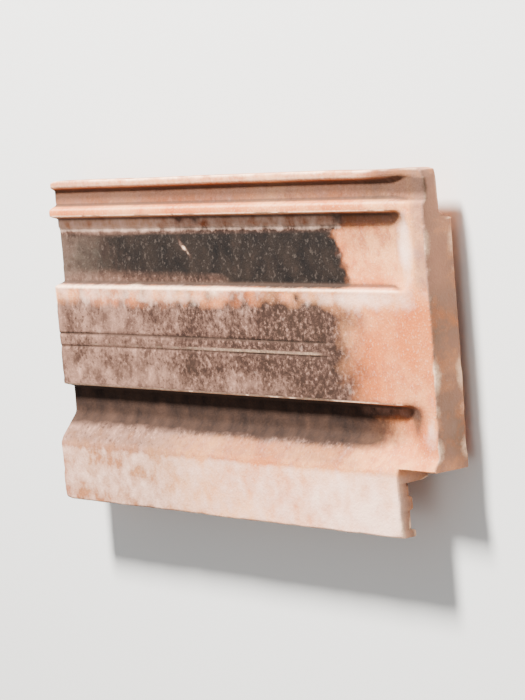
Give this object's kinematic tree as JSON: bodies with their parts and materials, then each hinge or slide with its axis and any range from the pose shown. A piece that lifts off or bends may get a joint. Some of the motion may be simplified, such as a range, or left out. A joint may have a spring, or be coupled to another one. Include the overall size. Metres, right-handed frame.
{
  "type": "interlocking clay roof tile",
  "caption": "Pressed clay roof tile with troughs beside a wide raised band, a ribbed side lock along one edge, a cover flange along the other and hanging nibs on its back.",
  "frame": {"origin": "middle of the tile's outline, on the plane that it rests on when it lies on its back", "axes": "+X across the tile from the ribbed edge to the cover flange, +Y from the foot to the head, +Z out of the weather face"},
  "size_m": [0.24, 0.42, 0.04],
  "materials": {
    "fired_clay": "matte, weathered"
  },
  "bodies": {
    "root": {"roof_tile": "fired_clay"}
  },
  "joints": []
}
